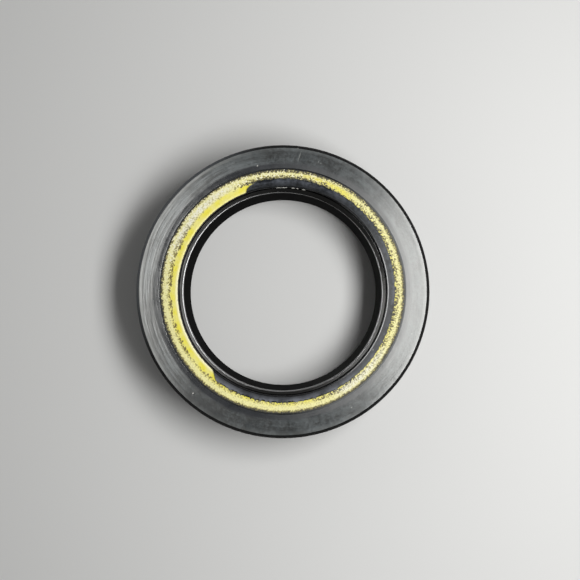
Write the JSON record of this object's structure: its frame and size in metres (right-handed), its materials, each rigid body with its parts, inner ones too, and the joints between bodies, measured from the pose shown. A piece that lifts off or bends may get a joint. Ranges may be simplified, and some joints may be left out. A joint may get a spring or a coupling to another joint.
{
  "type": "radial shaft seal",
  "caption": "Rubber-covered ring seal with a sprung main lip and a dust lip, for sealing a turning shaft in a round housing bore.",
  "frame": {"origin": "on the shaft axis, in the plane of the oil-side rim that the seal lies on", "axes": "+Z along the shaft axis towards the air side; the middle of the torn stretch of film faces -X"},
  "size_m": [0.042, 0.042, 0.007],
  "materials": {
    "nitrile_rubber": "moulded, matte face with a grey bloom, glossy lips",
    "yellow_steel": "pressed steel with a thin yellow primer",
    "spring_steel": "drawn wire"
  },
  "bodies": {
    "root": {"rubber_body": "nitrile_rubber", "metal_case": "yellow_steel", "garter_spring": "spring_steel"}
  },
  "joints": []
}
